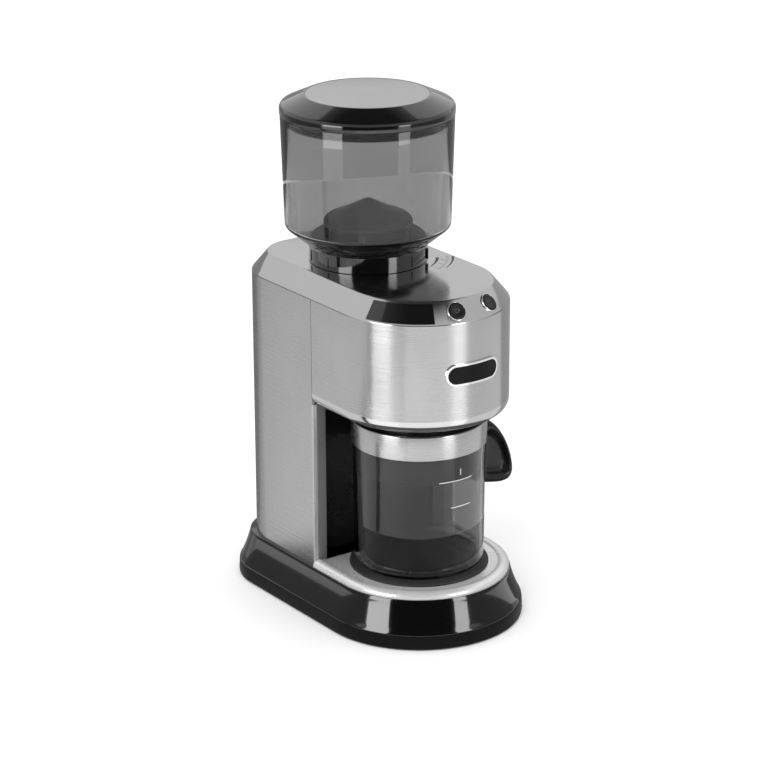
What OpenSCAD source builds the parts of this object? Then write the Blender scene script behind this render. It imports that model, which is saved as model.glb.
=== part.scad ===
// Upright conical-burr coffee grinder with a lift-off bean hopper and a slide-out grounds jar.
// Frame: +Z up, front is -Y, origin on the floor under the middle of the machine. Millimetres.

/* [Overall] */
// overall height, floor to the top of the hopper lid
total_h = 385; // [350:1:410]
// width of the foot of the base
base_w = 155; // [145:1:170]
// depth of the foot of the base
base_d = 240; // [225:1:255]
// width of the head and column
body_w = 132; // [124:1:138]
// radius of the column's rear corners
rear_r = 42; // [30:1:50]

/* [Base] */
// height of the black base, the level the column stands on
base_h = 36; // [30:1:42]
// lowest edge of the base skirt above the floor
skirt_z = 0.5; // [0.5:0.5:3]
// height of the upright lip at the foot of the skirt
lip_h = 11; // [6:0.5:14]
// how far the rubber feet hold the bottom plate off the floor
foot_h = 2; // [1.5:0.5:4]
// radius of each rubber foot
foot_r = 9; // [6:0.5:12]
// height of the tray rim above the base
tray_h = 5.2; // [4:0.1:8]

/* [Head] */
// underside of the head above the floor
head_z = 164; // [160:1:170]
// height of the polished bevel under the brushed wrap
bevel_h = 9; // [5:0.5:12]
// level where the brushed wall ends and the sloping shoulder starts
shoulder_z = 245; // [238:1:250]
// flat top deck above the floor
deck_z = 260; // [255:1:266]
// how far the deck edge is set in from the wall
deck_inset = 12; // [8:0.5:16]
// skin thickness of the column and head
skin = 2.2; // [1.6:0.1:3]

/* [Controls] */
// angle of the left push button from the front centre
button_left_deg = -10.3; // [-12:0.1:-8]
// angle of the right push button from the front centre
button_right_deg = 19.2; // [16:0.1:22]
// push button radius
button_r = 6.1; // [5:0.05:6.2]
// chrome ring radius round each button
ring_r = 7.3; // [7.2:0.1:7.8]
// how far a button is pressed
button_travel = 1; // [0.6:0.1:1.5]
// first edge of the dark display window, from the front centre
window_a = 26.5; // [24:0.5:32]
// far edge of the dark display window, from the front centre
window_b = 71.8; // [55:0.1:76]
// width of the badge plate
badge_w = 46; // [36:1:52]
// height of the badge plate
badge_h = 16; // [12:0.5:20]

/* [Hopper] */
// distance of the hopper axis behind the middle of the machine
hopper_y = 21; // [18:0.5:26]
// outer radius of the hopper at its rim
hopper_top_r = 64; // [60:0.5:68]
// outer radius of the hopper at its lower corner
hopper_low_r = 61.4; // [56:0.2:64]
// wall thickness of the hopper
hopper_t = 2.4; // [1.8:0.1:3.5]
// level of the hopper rim
hopper_rim_z = 370.5; // [365:0.5:374]
// radius of the turning collar
collar_r = 44; // [42:0.5:45]
// radius of the metal disc in the lid
lid_disc_r = 45.5; // [40:0.5:50]

/* [Jar] */
// outer radius of the jar under its ring
jar_r = 49.2; // [46:0.1:50]
// outer radius of the jar near its floor
jar_low_r = 48; // [44:0.1:49]
// wall thickness of the jar
jar_t = 2.4; // [1.8:0.1:3.5]
// lower edge of the brushed ring
ring_z = 137; // [130:0.5:142]
// upper edge of the brushed ring
ring_top = 155.6; // [150:0.2:157]
// lower edge of the lid's skirt inside the jar
skirt_low = 117; // [110:1:130]
// width of the handle on the jar's right side, front to back
handle_w = 25; // [18:1:30]

/* [Drive] */
// teeth on the large wheel of the reduction
wheel_t = 50; // [40:1:56]
// teeth on the motor pinion
pinion_t = 14; // [12:1:18]
// gear module
gear_m = 1; // [0.8:0.1:1.2]
// motor can radius
motor_r = 27; // [22:0.5:28]

/* [Hidden] */
$fn = 96;
// half-width of the body, jar axis, and rear face of the column
R = body_w / 2;
yc = -base_d / 2 + base_w / 2;
yr = 107.5;
// sloping shoulder: its height, its middle and its lean
shoulder_h = deck_z - shoulder_z;
face_r = R - deck_inset / 2;
face_z = (shoulder_z + deck_z) / 2;
face_tilt = 90 - atan2(deck_inset, shoulder_h);
// seam between the head's wrap and the rear shell, and the gap left at it
seam_y = 0.5;
seam_gap = 0.4;
// inner wall of the base, its roof, the bottom plate, and the screw bosses between them
base_wall = 4;
base_roof = base_h - 3;
plate_t = 2.5;
boss_at = [[-54, -28], [54, -28], [-54, 58], [54, 58]];
foot_at = [[-44, -76], [44, -76], [-48, 86], [48, 86]];
// mat under the jar: lowest face and the level the jar stands on
mat_low = base_h + 1.5;
mat_z = base_h + tray_h + 0.3;
mat_r = 51.8;
// both push button angles
button_degs = [button_left_deg, button_right_deg];
// hole in the shoulder for a button's ring, and the ring's own bore
ring_hole_r = 6.95;
ring_bore_r = 6.45;
// level of the badge's middle
badge_z = head_z + 43;
// outlet of the grounds chute
chute_r = 20;
// grinding chamber: floor and radius
chamber_z = 204.5;
chamber_r = 40;
// motor shelf and the four legs under it
shelf_z = 176;
shelf_t = 3;
leg_at = [[-46, 32], [46, 32], [-42, 88], [42, 88]];
leg_r = 5;
leg_foot = 4;
// reduction gearbox standing on the shelf
case_r = 31;
case_h = 19.5;
cover_h = 6;
bearing_r = 9;
bearing_h = 5;
wheel_shaft_r = 5;
// motor: axis, lowest face of the can, height of the can, shaft and its bearings
motor_y = hopper_y + gear_m * (wheel_t + pinion_t) / 2;
motor_z = 90;
motor_h = 82;
motor_shaft_r = 3;
motor_bearing_r = 7;
// radial play between a shaft and its bearing
play = 0.04;
// cord gland in the rear wall
gland_x = 30;
gland_z = 52;
gland_r = 6;
// hopper: top of the collar that carries it, and the spigot that drops into the collar
collar_top = 272.5;
spigot_z = 258.4;
spigot_r = 38.65;
throat_r = 34.2;
steel = [0.74, 0.75, 0.76];
bright = [0.85, 0.86, 0.87];
black = [0.05, 0.05, 0.055];
smoke = [0.3, 0.3, 0.31, 0.4];
rubber = [0.09, 0.09, 0.09];
burr_c = [0.45, 0.46, 0.48];
brass_c = [0.75, 0.6, 0.3];
board_c = [0.08, 0.3, 0.16];
white_c = [0.86, 0.86, 0.84];

// round-fronted body: half-round front, straight sides, rounded rear corners, top set in by d
module slab(r, back, cr, z0, h, d = 0) {
  translate([0, 0, z0]) {
    translate([0, yc, 0]) cylinder(h = h, r1 = r, r2 = r - d);
    translate([0, back - cr, 0]) rotate([90, 0, 0]) linear_extrude(back - cr - yc)
      polygon([[-r, 0], [r, 0], [r - d, h], [d - r, h]]);
    for (s = [-1, 1]) translate([s * (r - cr), back - cr, 0])
      cylinder(h = h, r1 = cr, r2 = cr - d);
    translate([-(r - cr), 0, 0]) rotate([90, 0, 90]) linear_extrude(2 * (r - cr))
      polygon([[back - cr, 0], [back, 0], [back - d, h], [back - cr, h]]);
  }
}
// front part of that body only: half-round front and straight sides back to y1
module bay(r, z0, h, y1, d = 0) translate([0, 0, z0]) {
  translate([0, yc, 0]) cylinder(h = h, r1 = r, r2 = r - d);
  translate([0, y1, 0]) rotate([90, 0, 0]) linear_extrude(y1 - yc)
    polygon([[-r, 0], [r, 0], [r - d, h], [d - r, h]]);
}
// all the space in front of y1, for cutting
module front_of(y1) translate([-100, -150, -10]) cube([200, 150 + y1, 420]);
// all the space behind y1, for cutting
module behind(y1) translate([-100, y1, -10]) cube([200, 160, 420]);
// places on the jar's, the hopper's and the motor's upright axes
module at_jar(z) translate([0, yc, z]) children();
module at_hop(z) translate([0, hopper_y, z]) children();
module at_motor(z) translate([0, motor_y, z]) children();
// a place on the sloping front shoulder, +Z out of the face
module on_face(a) translate([0, yc, face_z]) rotate([0, 0, a]) translate([0, -face_r, 0])
  rotate([face_tilt, 0, 0]) children();
// ring standing on z = 0
module tube(ro, ri, h) difference() {
  cylinder(h = h, r = ro);
  translate([0, 0, -1]) cylinder(h = h + 2, r = ri);
}
// pill outline
module pill(w, h) {
  square([w - h, h], center = true);
  for (s = [-1, 1]) translate([s * (w - h) / 2, 0]) circle(d = h);
}

// ---------- base ----------
module skirt_outer() {
  back = base_d / 2;
  slab(base_w / 2, back, 48, skirt_z, lip_h, 0.8);
  slab(base_w / 2 - 0.8, back - 0.8, 47.2, skirt_z + lip_h, base_h - skirt_z - lip_h, 8.8);
}
module bosses(r, z0, h) for (p = boss_at) translate([p[0], p[1], z0]) cylinder(h = h, r = r);
module base_skirt() color(black) difference() {
  union() {
    difference() {
      skirt_outer();
      slab(base_w / 2 - base_wall, base_d / 2 - base_wall, 44, 0, base_roof, 8);
    }
    bosses(5, foot_h + plate_t, base_roof - foot_h - plate_t + 0.1);
  }
  bosses(1.55, 0, 20);
  translate([0, 66, base_roof - 7]) cylinder(h = 20, r = 14);
}
module bottom_plate() color(black) difference() {
  slab(71.5, 114, 42, foot_h, plate_t);
  bosses(1.9, 0, 10);
  for (i = [-4 : 4]) translate([i * 7 - 1.5, 20, 0]) cube([3, 30, 10]);
}
module rubber_feet() color(rubber) for (p = foot_at) translate([p[0], p[1], 0]) {
  cylinder(h = foot_h / 2, r1 = foot_r - 0.8, r2 = foot_r);
  translate([0, 0, foot_h / 2]) cylinder(h = foot_h / 2, r = foot_r);
}
module base_screws() color(bright) difference() {
  union() {
    bosses(3.4, foot_h - 1.2, 1.2);
    bosses(1.5, foot_h - 0.5, 12);
  }
  bosses(1.1, 0, foot_h - 0.6);
}
// metal tray round the foot of the jar, with a raised rounded rim
module base_tray() color(steel) difference() {
  union() {
    bay(67.4, base_h, 2.2, 30, 0.4);
    bay(67, base_h + 2.2, 1.8, 30, 1.4);
    bay(65.6, base_h + 4, tray_h - 4, 30, 2.4);
  }
  bay(60, base_h + tray_h - 1.7, 5, 40, -6);
  at_jar(mat_low) cylinder(h = 10, r = mat_r + 0.2);
  behind(seam_y - 1.3);
}
module jar_mat() color(rubber) at_jar(mat_low) difference() {
  cylinder(h = mat_z - mat_low, r = mat_r);
  for (r = [20, 32]) translate([0, 0, mat_z - mat_low - 0.6]) tube(r + 1.2, r, 2);
}

// ---------- column ----------
module rear_shell() color(steel) difference() {
  slab(R, yr, rear_r, base_h, shoulder_z - base_h);
  slab(R - skin, yr - skin, rear_r - skin, base_h - 1, shoulder_z - base_h + 2);
  front_of(seam_y);
  translate([gland_x, yr - 10, gland_z]) rotate([-90, 0, 0]) cylinder(h = 20, r = gland_r + 0.05);
}
// front edges of the column, turned in towards the jar recess
module column_frame() color(steel) for (s = [0, 1]) mirror([s, 0, 0])
  translate([0, 0, base_h]) linear_extrude(head_z - base_h)
    polygon([[-R, 0.5], [-R, -0.2], [-65.5, -0.6], [-62.5, -0.6], [-50, 6.4], [-50, 9],
      [-62.9, 1.8], [-63.7, 1.8], [-63.7, 0.5]]);
module column_liner() color(black) difference() {
  translate([-52, 9.1, base_h]) cube([104, 15, head_z - base_h + 8]);
  translate([-50, 0, base_h - 1]) cube([100, 22, head_z - base_h + 20]);
  translate([0, 10, 100]) rotate([-90, 0, 0]) cylinder(h = 20, r = 2.5);
}

// ---------- head ----------
module head_wrap() color(steel) difference() {
  bay(R, head_z + bevel_h, shoulder_z - head_z - bevel_h, 30);
  bay(R - 1.8, head_z, 100, 40);
  behind(seam_y - seam_gap);
}
module head_bezel() color(bright) difference() {
  bay(R - 5, head_z, bevel_h, 30, -5);
  bay(R - 6.6, head_z - 1, bevel_h + 2, 40);
  behind(seam_y - seam_gap);
}
module head_underside() color(black) difference() {
  union() {
    difference() {
      bay(R - 6.7, head_z + 0.6, 3.5, 30);
      behind(seam_y - seam_gap);
    }
    translate([-49.7, -10, head_z + 0.6]) cube([99.4, 31.7, 3.5]);
  }
  at_jar(head_z - 5) cylinder(h = 20, r = chute_r + 0.1);
}
module top_deck() color(bright) difference() {
  slab(R, yr, rear_r, shoulder_z, shoulder_h, deck_inset);
  slab(R - 2.9, yr - 2.9, rear_r - 2.9, shoulder_z - 0.01, shoulder_h - 2.5, 10);
  at_hop(shoulder_z) cylinder(h = 30, r = 42.6);
  at_hop(shoulder_z - 1) cylinder(h = shoulder_h - 1.5, r = 46.8);
  at_jar(0) window_sector(1.5, 0);
  for (a = button_degs) on_face(a) translate([0, 0, -8]) cylinder(h = 12, r = ring_hole_r);
}
// strip of the shoulder, t thick, with a gap g all round
module window_sector(t, g) rotate([0, 0, -90 - window_b + g])
  rotate_extrude(angle = window_b - window_a - 2 * g)
    polygon([for (p = [[1.6 + g, 0], [shoulder_h - 1.6 - g, 0], [shoulder_h - 1.6 - g, 1],
      [1.6 + g, 1]]) [R - p[0] * deck_inset / shoulder_h + (p[1] == 0 ? 0.02 - g / 10 : -t * 1.28),
      shoulder_z + p[0]]]);
module display_window() color(black) at_jar(0) window_sector(1.4, 0.15);
module display_module() color(board_c) on_face(-(window_a + window_b) / 2)
  translate([-14, -4.5, -8]) cube([28, 9, 3]);
// board behind the buttons, square to the front between them
module control_board() color(board_c) on_face((button_left_deg + button_right_deg) / 2) {
  translate([-21, -8, -11.2]) cube([42, 15, 1.6]);
  for (s = [-1, 1]) translate([s * 15, 0, -9.7]) cylinder(h = 1.5, r = 2.5);
}
module button_rings() color(bright) for (a = button_degs) on_face(a) {
  translate([0, 0, -4]) tube(ring_hole_r - 0.05, ring_bore_r, 4.3);
  translate([0, 0, 0.3]) difference() {
    cylinder(h = 0.9, r1 = ring_r, r2 = ring_r - 0.5);
    translate([0, 0, -1]) cylinder(h = 4, r = ring_bore_r);
  }
}
module face_button() {
  translate([0, 0, -5]) cylinder(h = 5.9, r = button_r);
  translate([0, 0, 0.9]) cylinder(h = 0.5, r1 = button_r, r2 = button_r - 0.6);
}
module button_left() color(black) on_face(button_left_deg) face_button();
module button_right() color(black) on_face(button_right_deg) face_button();
module badge_body(w, h, t) intersection() {
  at_jar(head_z + bevel_h + 1) tube(R + t, R, 66);
  translate([0, yc, badge_z]) rotate([90, 0, 0]) linear_extrude(90) pill(w, h);
}
module badge_rim() color(bright) difference() {
  badge_body(badge_w, badge_h, 1.6);
  translate([0, yc, badge_z]) rotate([90, 0, 0]) linear_extrude(90)
    pill(badge_w - 3, badge_h - 3);
}
module badge_plate() color(black) badge_body(badge_w - 3, badge_h - 3, 0.9);

// ---------- inside the housing ----------
module chute() color(black) difference() {
  union() {
    at_jar(head_z - 5.5) cylinder(h = 65.5, r = chute_r);
    translate([-14, yc, 203]) cube([28, hopper_y - yc - 39.2, 21]);
  }
  at_jar(head_z - 7) cylinder(h = 65, r = chute_r - 2.4);
  translate([-12, yc, 205]) cube([24, 60, 17]);
  at_hop(chamber_z - 10) cylinder(h = 60, r = chamber_r + 0.1);
}
// polished skirt that hangs round the chute's outlet, just above the jar
module chute_ring() color(bright) at_jar(head_z - 6) tube(30, 28, 6.6);
module grinding_chamber() color(black) difference() {
  union() {
    at_hop(chamber_z) cylinder(h = 44, r = chamber_r);
    at_hop(chamber_z + 40) cylinder(h = 4, r = 46.5);
  }
  at_hop(chamber_z + 3) cylinder(h = 60, r = chamber_r - 2.7);
  at_hop(chamber_z - 4) cylinder(h = 20, r = wheel_shaft_r + 0.6);
  translate([-12, yc, 205.2]) cube([24, hopper_y - yc, 16.8]);
}
// shelf that carries the motor and gearbox, on four legs
module chassis() color(steel) difference() {
  union() {
    difference() {
      slab(54, 96, 30, shelf_z, shelf_t);
      front_of(-8);
    }
    for (p = leg_at) translate([p[0], p[1], base_h + leg_foot])
      cylinder(h = shelf_z - base_h - leg_foot, r = leg_r);
  }
  at_motor(shelf_z - 6) cylinder(h = 20, r = bearing_r);
  at_hop(shelf_z - 6) cylinder(h = 20, r = 6);
  for (s = [-1, 1]) translate([s * 40, 55, shelf_z - 6]) cylinder(h = 20, r = 6);
}
module motor_mounts() color(rubber) for (p = leg_at) translate([p[0], p[1], base_h])
  cylinder(h = leg_foot, r = leg_r + 2);
// outline of the gearbox: a large lobe for the wheel and a small one for the pinion
module gear_plan(r) {
  translate([0, hopper_y]) circle(r = r);
  translate([0, motor_y]) circle(r = r - 15);
  translate([-(r - 15), hopper_y]) square([2 * (r - 15), motor_y - hopper_y]);
}
module gearbox_base() color(black) difference() {
  translate([0, 0, shelf_z + shelf_t]) linear_extrude(case_h) gear_plan(case_r);
  translate([0, 0, shelf_z + shelf_t + 8.4]) linear_extrude(20) gear_plan(case_r - 2.5);
  at_hop(shelf_z + shelf_t + 3) cylinder(h = 20, r = bearing_r);
  at_hop(shelf_z - 6) cylinder(h = 20, r = wheel_shaft_r + 0.6);
  at_motor(shelf_z - 6) cylinder(h = 40, r = bearing_r);
}
module gearbox_cover() color(black) difference() {
  translate([0, 0, shelf_z + shelf_t + case_h]) linear_extrude(cover_h) gear_plan(case_r);
  at_hop(190) cylinder(h = 30, r = bearing_r);
  at_motor(190) cylinder(h = 10.5, r = 6);
}
module shaft_bearings() color(bright) for (z = [182, 199.4])
  at_hop(z) tube(bearing_r, wheel_shaft_r + play, bearing_h);
module motor_can() color(steel) difference() {
  union() {
    at_motor(motor_z) cylinder(h = motor_h, r = motor_r);
    at_motor(motor_z + motor_h) cylinder(h = shelf_z - motor_z - motor_h, r = motor_r - 3);
  }
  at_motor(motor_z + 3) cylinder(h = motor_h - 7, r = motor_r - 2);
  at_motor(motor_z - 10) cylinder(h = 110, r = motor_bearing_r);
  at_motor(motor_z + motor_h) cylinder(h = 10, r = motor_r - 7);
  for (a = [0 : 60 : 300]) at_motor(motor_z - 10) rotate([0, 0, a]) translate([15, 0, 0])
    cylinder(h = 20, r = 3);
}
module motor_magnets() color(rubber) for (a = [20, 200]) at_motor(104) rotate([0, 0, a])
  rotate_extrude(angle = 140) polygon([[19.5, 0], [24.9, 0], [24.9, 46], [19.5, 46]]);
module motor_bearings() color(bright) for (z = [motor_z, motor_z + motor_h - 4])
  at_motor(z) tube(motor_bearing_r, motor_shaft_r + play, 4);
// upright circuit board with a capacitor, a choke and a relay
module power_board() color(board_c) {
  translate([-60, 36, 60]) cube([1.6, 44, 90]);
  translate([-58.4, 40, 70]) cube([9, 14, 18]);
  translate([-58.4, 62, 72]) rotate([0, 90, 0]) cylinder(h = 12, r = 6);
  translate([-58.4, 42, 108]) cube([7, 26, 12]);
  translate([-58.4, 44, 130]) cube([5, 10, 10]);
}
// switch behind the jar recess that senses the jar
module jar_switch() color(rubber) {
  translate([-10, 24.1, 94]) cube([20, 1.8, 12]);
  translate([0, 22.6, 100]) rotate([-90, 0, 0]) cylinder(h = 2, r = 2.2);
}
module cord_gland() color(black) translate([gland_x, yr, gland_z]) rotate([-90, 0, 0]) difference() {
  union() {
    translate([0, 0, -5]) cylinder(h = 7, r = gland_r);
    cylinder(h = 3, r = 9);
    translate([0, 0, 3]) cylinder(h = 5, r1 = 7, r2 = 5);
  }
  translate([0, 0, -8]) cylinder(h = 20, r = 3.4);
}

// ---------- grind setting ----------
module adjust_collar() color(black) at_hop(0) {
  rotate_extrude() polygon([[33, 255], [37.6, 255], [37.6, 249.4], [41.2, 249.4],
    [41.2, deck_z + 0.4], [collar_r, deck_z + 0.4], [collar_r, collar_top], [39, collar_top], [39, 258],
    [33, 258]]);
  for (a = [0 : 30 : 330]) rotate([0, 0, a - 48]) translate([collar_r - 0.6, -0.8, deck_z + 2])
    cube([a == 0 ? 1.9 : 1.1, 1.6, 8]);
}
// threaded carrier that lifts and lowers the fixed burr
module burr_carrier() color(brass_c) at_hop(0) difference() {
  rotate_extrude() polygon([[26, 228], [36.9, 228], [36.9, 247], [33, 247], [33, 251.5],
    [27, 251.5], [27, 240.2], [26, 240.2]]);
  for (a = [0 : 60 : 300]) rotate([0, 0, a]) translate([30, 0, 243]) cylinder(h = 20, r = 1.5);
}
module upper_burr() color(burr_c) at_hop(0) difference() {
  rotate_extrude() polygon([[20.6, 218.5], [25.95, 218.5], [25.95, 240], [13.2, 240]]);
  for (a = [0 : 30 : 330]) rotate([0, 0, a]) translate([13.4, -0.8, 240.5])
    rotate([0, 161, 0]) translate([-1.2, 0, -1]) cube([3.2, 1.6, 24]);
}
module lower_burr() color(burr_c) at_hop(0) difference() {
  rotate_extrude() polygon([[5, 212], [19.7, 212], [19.7, 218.5], [10.3, 246], [5, 246]]);
  for (a = [15 : 30 : 345]) rotate([0, 0, a]) translate([19.9, -0.8, 217.5])
    rotate([0, -18.9, 0]) translate([-1.4, 0, 0]) cube([4, 1.6, 34]);
}
module burr_shaft() color(bright) at_hop(180.5) cylinder(h = 67, r = wheel_shaft_r);
module ejector_disc() color(brass_c) at_hop(208.6) difference() {
  union() {
    cylinder(h = 1.6, r = 34);
    cylinder(h = 3.3, r = 12);
    for (a = [0 : 60 : 300]) rotate([0, 0, a]) translate([20, -1, 1]) cube([13, 2, 4.5]);
  }
  translate([0, 0, -1]) cylinder(h = 10, r = wheel_shaft_r);
}
// involute angle at radius q on base radius rb, and half the angle of a tooth there, in degrees
function ia(q, rb) = let (c = acos(min(1, rb / q))) tan(c) * 180 / PI - c;
function half(q, rb, n, m) = 90 / n - 0.1 * 180 / PI / (n * m / 2)
  + ia(n * m / 2, rb) - ia(max(q, rb), rb);
// spur gear outline: n teeth of module m, tips add modules beyond the pitch circle
module gear2d(n, m, add) {
  rp = n * m / 2;
  rb = rp * cos(20);
  rd = rp - 1.2 * m;
  ra = rp + add * m;
  qs = [rd, max(rb, rd + 0.1), rp, (rp + ra) / 2, ra];
  polygon([for (i = [0 : n - 1], k = [0 : 9])
    let (q = k < 5 ? qs[k] : qs[9 - k], a = 360 * i / n + (k < 5 ? -1 : 1) * half(q, rb, n, m))
    [q * cos(a), q * sin(a)]]);
}
module gear_wheel() color(white_c) at_hop(189) difference() {
  union() {
    rotate([0, 0, 90]) linear_extrude(7) gear2d(wheel_t, gear_m, 0.8);
    cylinder(h = 9, r = 9);
  }
  translate([0, 0, -1]) cylinder(h = 12, r = wheel_shaft_r);
  for (a = [0 : 60 : 300]) rotate([0, 0, a + 30]) translate([16, 0, -1]) cylinder(h = 12, r = 4);
}
module pinion() color(brass_c) at_motor(188.4) difference() {
  rotate([0, 0, -90 + 180 / pinion_t]) linear_extrude(8.2) gear2d(pinion_t, gear_m, 0.8);
  translate([0, 0, -1]) cylinder(h = 12, r = motor_shaft_r);
}
module motor_shaft() color(bright) at_motor(76) cylinder(h = 121.5, r = motor_shaft_r);
module armature() color(burr_c) at_motor(0) difference() {
  union() {
    translate([0, 0, 106]) cylinder(h = 42, r = 18.6);
    translate([0, 0, 148]) cylinder(h = 10, r = 8.5);
  }
  for (a = [0 : 45 : 315]) rotate([0, 0, a]) translate([11, -1, 100]) cube([10, 2, 48]);
  translate([0, 0, 90]) cylinder(h = 80, r = motor_shaft_r);
}
module cooling_fan() color(white_c) at_motor(77) difference() {
  union() {
    cylinder(h = 1.6, r = 23);
    cylinder(h = 9, r = 6);
    for (a = [0 : 45 : 315]) rotate([0, 0, a]) translate([5, -0.8, 1]) cube([17, 1.6, 7]);
  }
  translate([0, 0, -1]) cylinder(h = 12, r = motor_shaft_r);
}

// ---------- hopper ----------
module hopper() color(smoke) at_hop(0) rotate_extrude() polygon([
  [hopper_top_r, hopper_rim_z], [hopper_low_r, 289.5], [hopper_low_r - 0.8, 286.6],
  [hopper_low_r - 2.4, 284.2], [45, collar_top + 1.1], [45, collar_top], [spigot_r, collar_top],
  [spigot_r, spigot_z], [throat_r, spigot_z], [throat_r, 276], [44.6, 276], [57.8, 286.4], [58.9, 289.8],
  [hopper_top_r - hopper_t, hopper_rim_z]]);
// ring and roof that keep fingers out of the throat
module bean_guard() color(black) at_hop(0) {
  translate([0, 0, 276]) tube(42.6, 30.5, 2.2);
  for (a = [45 : 90 : 315]) rotate([0, 0, a]) translate([29, -2, 276.4]) cube([3.4, 4, 10.6]);
  rotate_extrude() polygon([[0, 287], [31, 285.2], [32.6, 286.2], [33, 288], [32.4, 290],
    [30.4, 291.2], [20, 295.6], [3, 301.8], [0, 302.6]]);
}
module hopper_lid() color(black) at_hop(0) rotate_extrude() polygon([
  [0, total_h - 1.3], [lid_disc_r + 0.1, total_h - 1.3], [lid_disc_r + 0.1, total_h],
  [lid_disc_r + 0.9, total_h], [62.6, total_h - 7], [63.8, total_h - 8], [64.4, total_h - 9.4],
  [64.4, hopper_rim_z + 0.01], [60.6, hopper_rim_z + 0.01], [60.6, hopper_rim_z - 7],
  [58.4, hopper_rim_z - 7], [58.4, hopper_rim_z + 1.6], [44, total_h - 5], [0, total_h - 5]]);
module lid_disc() color(bright) at_hop(total_h - 1.3) cylinder(h = 1.25, r = lid_disc_r);
module lid_seal() color(rubber) at_hop(hopper_rim_z - 5.4) tube(61.1, 60.62, 1.8);

// ---------- jar ----------
module jar() color(smoke) at_jar(0) rotate_extrude() polygon([
  [0, mat_z + 0.6], [38, mat_z + 0.6], [38.6, mat_z], [42.6, mat_z], [45.4, mat_z + 1],
  [47.2, mat_z + 3], [jar_low_r, mat_z + 6.5], [jar_r, ring_z - 0.6], [jar_r - 0.9, ring_z - 0.2],
  [jar_r - 0.9, 152], [jar_r - 0.9 - 1.6, 152], [jar_r - jar_t, ring_z - 6],
  [jar_low_r - jar_t, mat_z + 7], [43.2, mat_z + 4], [40, mat_z + 3.2], [0, mat_z + 3.2]]);
module jar_ring() color(steel) at_jar(ring_z) difference() {
  union() {
    cylinder(h = ring_top - ring_z - 0.7, r = 50.2);
    translate([0, 0, ring_top - ring_z - 0.7]) cylinder(h = 0.7, r1 = 50.2, r2 = 49.7);
  }
  translate([0, 0, -1]) cylinder(h = 30, r = jar_r - 0.85);
}
module jar_lid() color(black) at_jar(0) rotate_extrude() polygon([
  [20.5, 151.8], [20.5, 154.6], [48.1, 154.6], [48.1, 152.02], [46.1, 152.02],
  [45.9, skirt_low], [44.1, skirt_low], [44.3, 151.8]]);
// round-ended hollow pressed into each face of the handle
module finger_pocket() {
  for (z = [-5, 5]) translate([0, z, -14]) cylinder(h = 28, r = 7);
  translate([-7, -5, -14]) cube([14, 10, 28]);
}
module jar_handle() color(black) difference() {
  translate([0, yc + handle_w / 2, 0]) rotate([90, 0, 0]) linear_extrude(handle_w)
    polygon([[40, 138.8], [52, 139.8], [56, 138.6], [60.6, 134.8], [65, 129.6], [71.2, 119.4],
      [75.5, 109.5], [77.3, 101.5], [77.2, 95.5], [75.6, 91.6], [72.6, 89.6], [68, 89.2],
      [60, 90.5], [50, 93], [40, 94]]);
  at_jar(80) cylinder(h = ring_z - 80, r = jar_r + 0.06);
  at_jar(ring_z - 1) cylinder(h = 20, r = 50.25);
  for (s = [-1, 1]) translate([62.5, yc + s * (handle_w / 2 + 11.5), 106])
    rotate([0, 14, 0]) rotate([90, 0, 0]) finger_pocket();
}

base_skirt();
base_tray();
bottom_plate();
rubber_feet();
base_screws();
jar_mat();
rear_shell();
column_frame();
column_liner();
head_wrap();
head_bezel();
head_underside();
top_deck();
display_window();
display_module();
control_board();
button_rings();
badge_rim();
badge_plate();
chute();
chute_ring();
grinding_chamber();
chassis();
motor_mounts();
gearbox_base();
gearbox_cover();
shaft_bearings();
motor_can();
motor_magnets();
motor_bearings();
power_board();
jar_switch();
cord_gland();
adjust_collar();
burr_carrier();
upper_burr();
lower_burr();
burr_shaft();
gear_wheel();
ejector_disc();
motor_shaft();
pinion();
armature();
cooling_fan();
hopper();
bean_guard();
hopper_lid();
lid_disc();
lid_seal();
button_left();
button_right();
jar();
jar_ring();
jar_lid();
jar_handle();
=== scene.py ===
"""Looks for the upright burr coffee grinder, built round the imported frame. Metres, +Z up, front is -Y."""
import math

import bmesh
import bpy
from mathutils import Matrix, Vector


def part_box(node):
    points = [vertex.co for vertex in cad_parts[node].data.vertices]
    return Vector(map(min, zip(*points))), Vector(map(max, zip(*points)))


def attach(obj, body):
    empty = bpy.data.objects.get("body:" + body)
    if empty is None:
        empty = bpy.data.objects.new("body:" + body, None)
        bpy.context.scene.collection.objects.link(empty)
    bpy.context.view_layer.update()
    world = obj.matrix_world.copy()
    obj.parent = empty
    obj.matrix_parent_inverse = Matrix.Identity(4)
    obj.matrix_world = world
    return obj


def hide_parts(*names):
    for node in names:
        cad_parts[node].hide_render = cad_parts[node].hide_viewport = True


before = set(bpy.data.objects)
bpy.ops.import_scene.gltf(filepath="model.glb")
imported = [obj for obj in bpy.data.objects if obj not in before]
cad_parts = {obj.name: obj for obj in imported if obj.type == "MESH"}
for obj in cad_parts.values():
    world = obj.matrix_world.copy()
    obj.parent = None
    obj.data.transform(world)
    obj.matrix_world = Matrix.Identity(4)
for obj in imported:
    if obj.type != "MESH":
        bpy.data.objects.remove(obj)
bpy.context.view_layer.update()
MM = 0.001

# ---------------------------------------------------------------- driving dimensions, from the frame
shell_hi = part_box("rear_shell")[1]
wrap_lo, wrap_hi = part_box("head_wrap")
deck_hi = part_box("top_deck")[1]
skirt_lo, skirt_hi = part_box("base_skirt")
tray_lo, tray_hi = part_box("base_tray")
bezel_lo, bezel_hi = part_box("head_bezel")
hopper_lo, hopper_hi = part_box("hopper")
lid_lo, lid_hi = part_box("hopper_lid")
jar_lo, jar_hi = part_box("jar")
ring_lo, ring_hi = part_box("jar_ring")
jar_lid_lo, jar_lid_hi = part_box("jar_lid")
handle_lo, handle_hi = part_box("jar_handle")
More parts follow.
